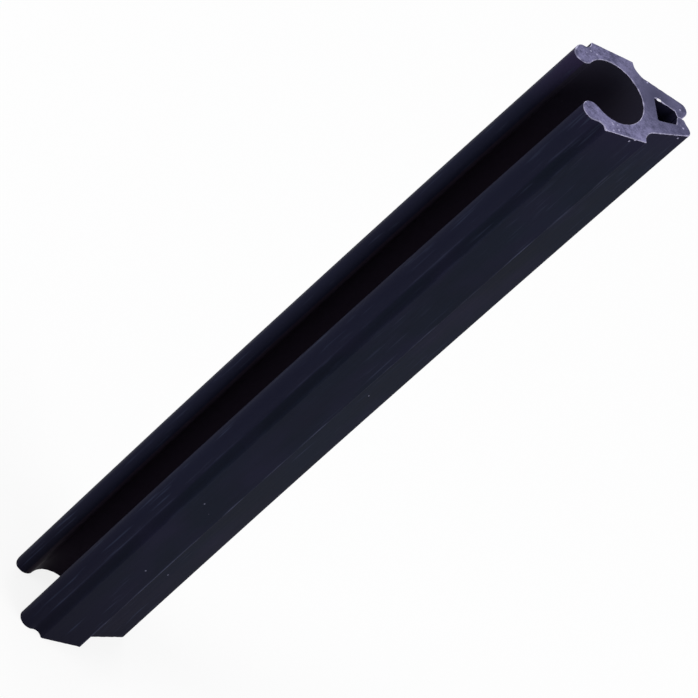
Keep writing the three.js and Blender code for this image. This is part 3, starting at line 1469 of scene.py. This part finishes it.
@dataclass(frozen=True)
class Clip(SubAssembly):
    """The two arms that grip the stand's tube and bend at the neck, in millimetres."""

    bend: float = 4.0  # length of wall over which an arm bends
    rear_bead_flat: float = 0.42  # how deep the flat is that the rear bead wore to

    def build(self) -> list[bpy.types.Object]:
        """Builds the two arms.

        Returns:
            The rear arm and the front arm.
        """
        section = self.builder.section
        seam = section.arm_seam_inside
        reach = polar(section.neck_angle + math.pi / 2) * self.bend
        return [
            self.build_bending(f"{side.value}_clip_arm", side, section.arm(flat), seam, reach)
            for side, flat in ((Side.REAR, self.rear_bead_flat), (Side.FRONT, 0.0))
        ]


@dataclass(frozen=True)
class Jaws(SubAssembly):
    """The two jaws that nip the picks and bend at the pocket's corners, in millimetres."""

    bend: float = 3.0  # length of wall over which a jaw bends
    rear_tip: JawTip = JawTip()
    front_tip: JawTip = JawTip(thinned=0.7, land_more=0.3, sharper=0.4)

    def build(self) -> list[bpy.types.Object]:
        """Builds the two jaws.

        Returns:
            The rear jaw and the front jaw.
        """
        section = self.builder.section
        seam = section.jaw_seam_inside
        reach = section.jaw_way * self.bend
        return [
            self.build_bending(f"{side.value}_jaw", side, section.jaw(tip), seam, reach)
            for side, tip in ((Side.REAR, self.rear_tip), (Side.FRONT, self.front_tip))
        ]


# Studio


@dataclass(frozen=True)
class Softbox:
    """A square lamp that looks at the middle of the strip, in degrees and metres."""

    name: str
    azimuth: float
    elevation: float
    distance: float
    width: float
    watts: float

    def build(self, target: Vector) -> bpy.types.Object:
        """Places the lamp round its target.

        Args:
            target: The place that it looks at.

        Returns:
            The lamp.
        """
        lamp = bpy.data.lights.new(self.name, "AREA")
        lamp.shape = "SQUARE"
        lamp.size = self.width
        lamp.energy = self.watts
        made = bpy.data.objects.new(self.name, lamp)
        bpy.context.scene.collection.objects.link(made)
        back = direction(self.azimuth, self.elevation)
        made.location = target + back * self.distance
        made.rotation_mode = "QUATERNION"
        made.rotation_quaternion = (-back).to_track_quat("-Z", "Y")
        return made


def direction(azimuth: float, elevation: float) -> Vector:
    """Returns the direction from the strip to a place round it.

    Args:
        azimuth: Degrees round the strip, 0 in front of it at -Y and 90 at +X.
        elevation: Degrees above the floor.

    Returns:
        A unit vector.
    """
    turn = math.radians(azimuth)
    rise = math.radians(elevation)
    across = math.cos(rise)
    return Vector((math.sin(turn) * across, -math.cos(turn) * across, math.sin(rise)))


@dataclass(frozen=True)
class Studio:
    """A white room with a pale floor, soft lamps and a long lens, in degrees and metres."""

    floor_radius: float = 2.5
    floor_colour: str = "#f9f9fa"
    floor_white: float = 0.85  # share of the floor that shows white to the camera, over its shadow
    room_colour: str = "#ffffff"
    room_light: float = 0.3
    azimuth: float = -41.47
    elevation: float = 37.59
    roll: float = 48.01
    distance: float = 1.2673
    lens: float = 307.5  # focal length in millimetres
    aim_offset: tuple[float, float, float] = (0.00083, 0.00265, 0.00306)  # from the strip's centre
    lamps: tuple[Softbox, ...] = (
        Softbox("left_softbox", -102, 25, 1.6, 1.0, 14.0),
        Softbox("front_softbox", 33, 25, 1.6, 1.0, 13.0),
        Softbox("back_softbox", 160, 25, 1.6, 1.0, 8.0),
        Softbox("top_softbox", 20, 80, 1.6, 1.4, 5.0),
    )

    def seen_share(self, tree: Tree) -> Socket:
        """Tells the rays that show the room itself, to the eye or in gloss, from those that light.

        Args:
            tree: The node tree to add to.

        Returns:
            1 for a ray that shows the room, and 0 for one that lights the strip.
        """
        path = add_node(tree, "ShaderNodeLightPath")
        seen = path.outputs["Is Camera Ray"]
        for kind in ("Is Glossy Ray", "Is Transmission Ray"):
            both = add_node(tree, "ShaderNodeMath", {"Value": seen, "Value_001": path.outputs[kind]},
                            operation="MAXIMUM")
            seen = both.outputs[0]
        return seen

    def build_floor(self) -> bpy.types.Object:
        """Builds the pale floor, which keeps the strip's shadow.

        Returns:
            The floor.
        """
        mesh = bpy.data.meshes.new("floor")
        worked = bmesh.new()
        bmesh.ops.create_circle(worked, cap_ends=True, segments=96, radius=self.floor_radius)
        worked.to_mesh(mesh)
        worked.free()
        floor = bpy.data.objects.new("floor", mesh)
        floor.location.z = CAD_BOX[0].z
        bpy.context.scene.collection.objects.link(floor)
        material, tree = new_material("matt_white_floor")
        share = add_node(tree, "ShaderNodeMath",
                         {"Value": self.seen_share(tree), "Value_001": self.floor_white},
                         operation="MULTIPLY")
        paint = add_node(tree, "ShaderNodeBsdfDiffuse", {"Color": linear(self.floor_colour)})
        white = add_node(tree, "ShaderNodeEmission", {"Color": linear(self.room_colour), "Strength": 1.0})
        mixed = add_node(tree, "ShaderNodeMixShader",
                         {"Fac": share.outputs[0], "Shader": paint.outputs[0],
                          "Shader_001": white.outputs[0]})
        add_node(tree, "ShaderNodeOutputMaterial", {"Surface": mixed.outputs[0]})
        mesh.materials.append(material)
        return floor

    def build_room(self) -> None:
        """Sets the light of the room, which looks white and lights the strip softly."""
        world = bpy.data.worlds.new("white_room")
        world.use_nodes = True
        world.node_tree.nodes.clear()
        tree = world.node_tree
        soft = add_node(tree, "ShaderNodeBackground",
                        {"Color": linear(self.room_colour), "Strength": self.room_light})
        white = add_node(tree, "ShaderNodeBackground",
                         {"Color": linear(self.room_colour), "Strength": 1.0})
        mixed = add_node(tree, "ShaderNodeMixShader",
                         {"Fac": self.seen_share(tree), "Shader": soft.outputs[0],
                          "Shader_001": white.outputs[0]})
        add_node(tree, "ShaderNodeOutputWorld", {"Surface": mixed.outputs[0]})
        bpy.context.scene.world = world

    def build_camera(self, centre: Vector) -> bpy.types.Object:
        """Places the camera round the strip, turned so that the strip lies aslant.

        Args:
            centre: The strip's centre.

        Returns:
            The camera.
        """
        camera = bpy.data.objects.new("camera", bpy.data.cameras.new("camera"))
        bpy.context.scene.collection.objects.link(camera)
        back = direction(self.azimuth, self.elevation)
        camera.data.lens = self.lens
        camera.location = centre + Vector(self.aim_offset) + back * self.distance
        camera.rotation_mode = "QUATERNION"
        level = (-back).to_track_quat("-Z", "Y")
        camera.rotation_quaternion = Quaternion(back, math.radians(self.roll)) @ level
        bpy.context.scene.camera = camera
        return camera

    def build(self) -> None:
        """Builds the floor, the room, the lamps and the camera."""
        centre = (CAD_BOX[0] + CAD_BOX[1]) / 2
        self.build_floor()
        self.build_room()
        for lamp in self.lamps:
            lamp.build(centre)
        self.build_camera(centre)
        bpy.context.scene.view_settings.view_transform = "Standard"


def tube_radius() -> float:
    """Looks up the bore in the record's tube mount.

    Returns:
        The radius of the bore in millimetres.
    """
    mounts = frame["record"]["mounts"]
    tube = next(mount for mount in mounts if mount["name"] == TUBE_MOUNT)
    return tube["dims"]["r_mm"]


def main() -> None:
    """Builds the studio and the pick holder, and reports each piece."""
    logging.basicConfig(level=logging.INFO, format="%(message)s")
    Studio().build()
    lowest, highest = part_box("spine")
    length = (highest.z - lowest.z) / METRES_PER_MM
    builder = MemberBuilder(section=StripSection(bore_radius=tube_radius()), length=length)
    finishes = (  # in the order of Finish
        ExtrudedVinyl().material(length),
        SawnVinyl().material(),
        BurnishedVinyl().material(),
        PaintedGlintVinyl().material(),
    )
    for sub_assembly in (Spine, Clip, Jaws):
        for made in sub_assembly(builder, finishes).build():
            log.info("%s: %d faces", made.name, len(made.data.polygons))


if __name__ == "__main__":
    main()
